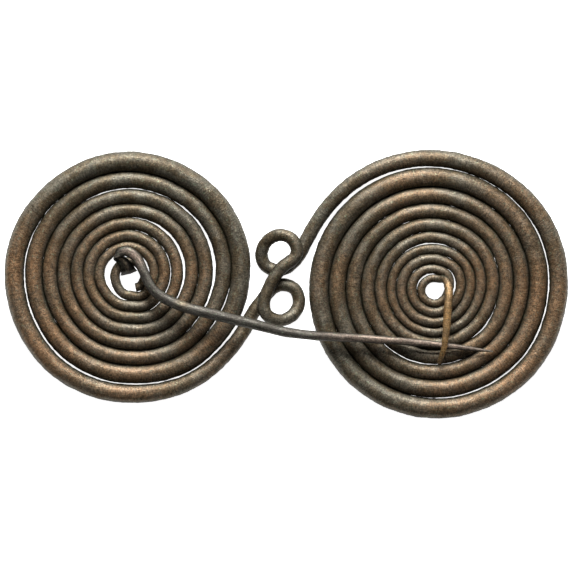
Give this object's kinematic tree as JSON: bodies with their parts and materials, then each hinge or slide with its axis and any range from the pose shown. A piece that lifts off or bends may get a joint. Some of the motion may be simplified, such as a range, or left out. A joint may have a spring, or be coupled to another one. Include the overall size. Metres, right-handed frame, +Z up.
{
  "type": "spectacle fibula brooch",
  "caption": "Bronze spectacle fibula: one tapering wire wound into two spiral discs joined by a figure of eight, with a catch, and a long pin curled round one disc's inner turn.",
  "frame": {"origin": "on the surface that the brooch lies on, midway along its length and its width", "axes": "+X from the pin-head disc to the catch disc, +Y across the discs, +Z up, from the show side to the pin side"},
  "size_m": [0.1408, 0.0671, 0.0105],
  "materials": {
    "wire_bronze": "aged bronze with a dark brown patina, reddish brown on the crowns and olive green in the creases",
    "pin_bronze": "aged bronze, greyer than the wire, streaked along its length and worn bright in spots"
  },
  "bodies": {
    "root": {"double_spiral_wire": "wire_bronze", "pin": "pin_bronze"}
  },
  "joints": []
}
